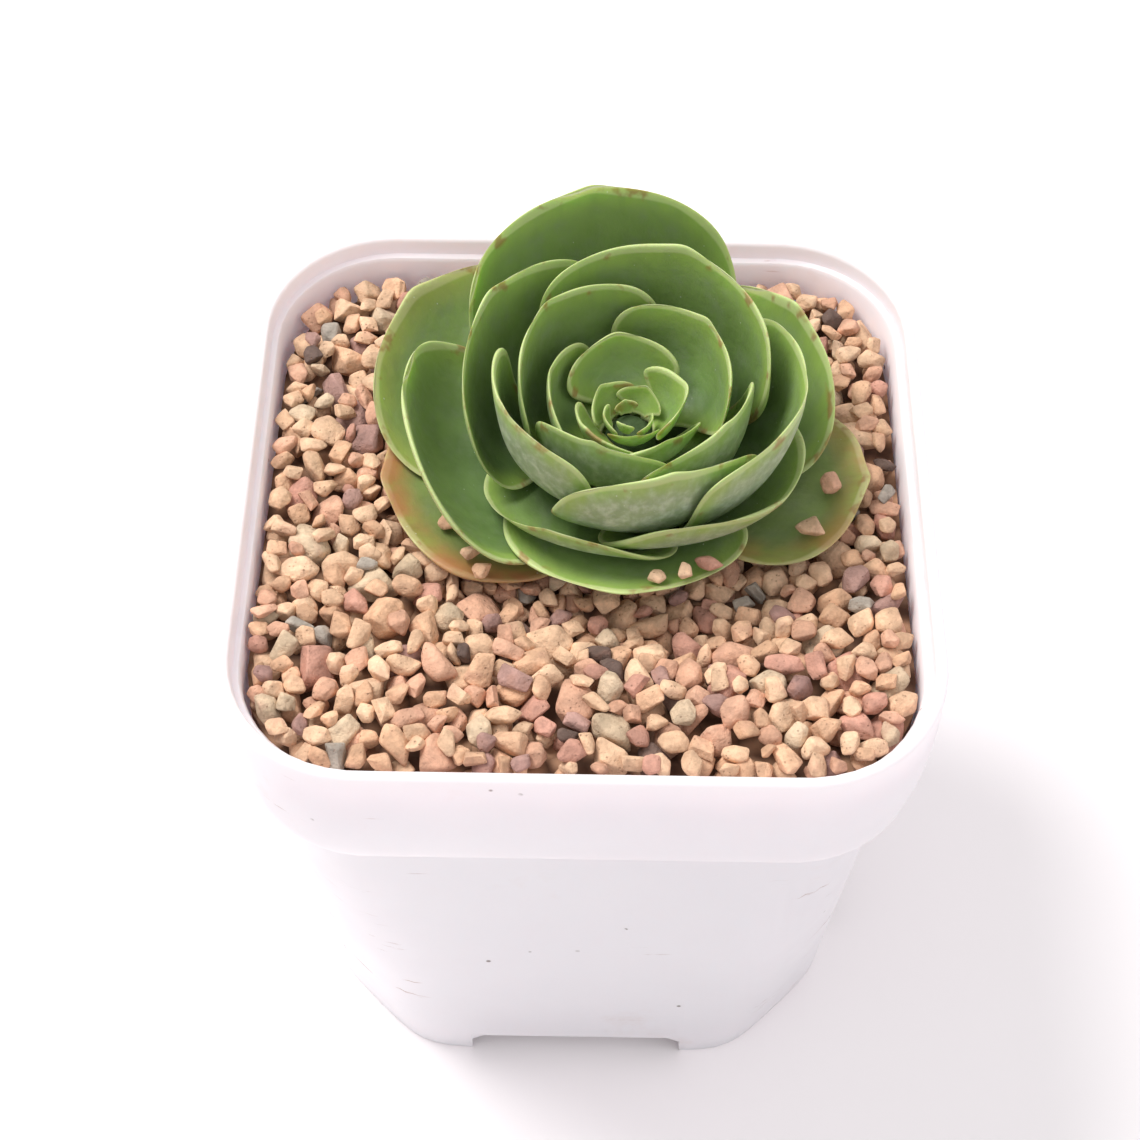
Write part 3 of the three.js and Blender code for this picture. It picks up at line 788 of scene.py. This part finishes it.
def waxy_leaf():
    """Green flesh under wax: bloom outside, bright margins, painted shade deep in the rosette, rust
    and a red flush.
    """
    look = Shading("waxy_leaf")
    margin = look.attribute("margin")
    inner = look.attribute("inner")
    reach = look.attribute("reach")
    youth = look.attribute("youth")
    place = look.node("CombineXYZ")
    look.join(look.attribute("around"), place.inputs["X"])
    look.join(look.attribute("upward"), place.inputs["Y"])
    look.join(look.attribute("leaf_number"), place.inputs["Z"])
    along = look.node("Mapping")
    along.inputs["Scale"].default_value = (1.0, 0.22, 1.0)
    look.join(place.outputs["Vector"], along.inputs["Vector"])
    flat = place.outputs["Vector"]

    broad = look.noise(flat, 0.13, 4, 0.55)
    fine = look.noise(flat, 0.9, 5, 0.6)
    veins = look.noise(along.outputs["Vector"], 0.55, 3, 0.5)
    face = look.mix(look.ramp(broad, 0.32, 0.68), rgb(88, 116, 62), rgb(116, 146, 84))
    face = look.mix(look.ramp(veins, 0.35, 0.75, 0, 0.3), face, rgb(120, 148, 88))
    pale = look.ramp(reach, 0.5, 1.0, 0, 0.65)
    face = look.mix(pale, face, rgb(148, 174, 96))
    bloom = look.mix(look.ramp(fine, 0.35, 0.7), rgb(158, 173, 140), rgb(188, 199, 172))
    outer_bloom = look.ramp(fine, 0.2, 0.8, 0.66, 0.94)
    back = look.mix(outer_bloom, rgb(118, 144, 88), bloom)
    cloudy = look.ramp(look.noise(flat, 0.3, 5, 0.6), 0.42, 0.75, 0, 0.5)
    face = look.mix(cloudy, face, rgb(132, 150, 116))
    colour = look.mix(inner, back, face)
    # painted shade: the leaves darken to deep green towards the crown, where the rosette's eye lies in
    # shade
    colour = look.mix(look.ramp(reach, 0.3, 0.8, 0.6, 0), colour, rgb(44, 62, 36))

    old = look.ramp(youth, 0.0, 0.1, 1, 0)
    olive = look.mix(look.ramp(broad, 0.35, 0.65), rgb(96, 104, 54), rgb(126, 134, 76))
    colour = look.mix(look.math("MULTIPLY", old, 0.55), colour, olive)
    band = look.ramp(margin, 0.3, 3.6, 0.75, 0)
    band = look.math("MULTIPLY", band, look.ramp(veins, 0.3, 0.6, 0.55, 1))
    colour = look.mix(band, colour, rgb(150, 178, 84))
    edge = look.ramp(margin, 0.1, 0.5, 0.75, 0)
    colour = look.mix(edge, colour, rgb(190, 200, 142))
    flush = look.math("MULTIPLY", look.ramp(margin, 0.3, 4.5, 1, 0), old)
    flush = look.math("MULTIPLY", flush, look.ramp(broad, 0.35, 0.6, 0.35, 1))
    colour = look.mix(look.math("MULTIPLY", flush, 0.75), colour, rgb(176, 98, 72))
    patchy = look.ramp(look.noise(flat, 0.35, 3), 0.56, 0.68)
    rust = look.math("MULTIPLY", patchy, look.ramp(margin, 0.25, 1.3, 1, 0))
    colour = look.mix(look.math("MULTIPLY", rust, 0.7), colour, rgb(150, 104, 62))
    spots = look.cells(flat, 0.8)
    dust_zone = look.ramp(look.noise(flat, 0.5, 1), 0.55, 0.6)
    dust = look.math("MULTIPLY", look.ramp(spots.outputs["Distance"], 0.05, 0.1, 1, 0), dust_zone)
    colour = look.mix(look.math("MULTIPLY", dust, 0.55), colour, rgb(214, 220, 206))

    rough = look.ramp(fine, 0.25, 0.75, 0.4, 0.58)
    soft = look.bump(look.noise(flat, 0.35, 4, 0.55), 0.35 * MM, 0.5)
    skin = look.bump(look.math("ADD", look.math("MULTIPLY", veins, 0.6), fine), 0.08 * MM, 0.6, soft)
    shader = look.shader.inputs
    shader["Subsurface Weight"].default_value = 0.3
    shader["Subsurface Radius"].default_value = (0.6, 1.0, 0.25)
    shader["Subsurface Scale"].default_value = 1.1 * MM
    shader["Specular IOR Level"].default_value = 0.45
    return look.finish(colour, rough, skin)


leaf_skin = waxy_leaf()
for order, node in enumerate(leaf_nodes):
    mesh = grow_leaf(order, node)
    mesh.materials.clear()
    mesh.materials.append(leaf_skin)
    leaf = bpy.data.objects.new(mesh.name, mesh)
    scene.collection.objects.link(leaf)
    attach(leaf, "root")
    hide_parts(node)


# ------------------------------------------------------------------ loose grit
# Grit stones that rolled onto the lowest leaves when the pot was dressed. They
# are the same chips as the rest and lie where they stopped.

loose_nodes = sorted(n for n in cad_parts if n.startswith("loose_stone_"))

for number, node in enumerate(loose_nodes):
    low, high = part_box(node)
    bm = bmesh.new()
    tint = bm.verts.layers.float_color.new("stone_colour")
    bm.from_mesh(chip(100 + number))
    size = Matrix.Diagonal((*((high - low) * 1.06), 1))
    bmesh.ops.transform(bm, matrix=Matrix.Translation((low + high) / 2) @ size, verts=bm.verts)
    colour = pick_colour()
    for vert in bm.verts:
        vert[tint] = colour
    stone = object_from(bm, f"rolled_grit_{number + 1}", clay)
    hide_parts(node)


# ------------------------------------------------------------------ studio
# A plain pale sweep, one large soft light from the upper left and a white
# surround, with the camera above the front of the pot, tipped well down.

def pale_sweep():
    look = Shading("pale_sweep")
    near = look.place()
    tone = look.mix(look.noise(near, 8, 3), rgb(252, 248, 249), rgb(254, 251, 252))
    rough = look.ramp(look.noise(near, 60, 3), 0.3, 0.7, 0.7, 0.85)
    return look.finish(tone, rough, look.bump(look.noise(near, 300, 2), 0.02 * MM, 0.2))


bm = bmesh.new()
bmesh.ops.create_grid(bm, x_segments=8, y_segments=8, size=1.5)
floor_mesh = bpy.data.meshes.new("sweep")
bm.to_mesh(floor_mesh)
bm.free()
floor_mesh.materials.append(pale_sweep())
floor = bpy.data.objects.new("sweep", floor_mesh)
scene.collection.objects.link(floor)


def soft_light(name, place, aim, size, power, colour):
    data = bpy.data.lights.new(name, "AREA")
    data.shape = "DISK"
    data.size = size
    data.energy = power
    data.color = colour
    lamp = bpy.data.objects.new(name, data)
    lamp.location = place
    lamp.rotation_euler = (Vector(aim) - Vector(place)).to_track_quat("-Z", "Y").to_euler()
    scene.collection.objects.link(lamp)


soft_light("key", (-0.28, 0.16, 0.62), crown, 0.34, 4.2, (1.0, 0.985, 0.965))
soft_light("fill", (0.5, -0.2, 0.6), crown, 0.5, 0.5, (0.95, 0.96, 1.0))

world = bpy.data.worlds.new("white_surround")
world.use_nodes = True
world.node_tree.nodes["Background"].inputs["Color"].default_value = (1, 0.99, 0.995, 1)
world.node_tree.nodes["Background"].inputs["Strength"].default_value = 0.79
scene.world = world
scene.view_settings.view_transform = "Standard"

camera_turn = math.radians(0.458)
camera_rise = math.radians(53.92)
camera_roll = math.radians(0.51)
camera_distance = 291.6 * MM
camera_target = Vector((-1.69, 0, 67.95)) * MM

back = Vector((
    math.sin(camera_turn) * math.cos(camera_rise),
    -math.cos(camera_turn) * math.cos(camera_rise),
    math.sin(camera_rise),
))
level_right = (-back).cross(Vector((0, 0, 1))).normalized()
level_up = level_right.cross(-back)
right = math.cos(camera_roll) * level_right + math.sin(camera_roll) * level_up
up = -math.sin(camera_roll) * level_right + math.cos(camera_roll) * level_up
camera_data = bpy.data.cameras.new("camera")
camera_data.lens = 71.5
camera_data.sensor_width = 36
camera = bpy.data.objects.new("camera", camera_data)
turned = Matrix((right, up, back)).transposed().to_4x4()
camera.matrix_world = Matrix.Translation(camera_target + back * camera_distance) @ turned
scene.collection.objects.link(camera)
scene.camera = camera
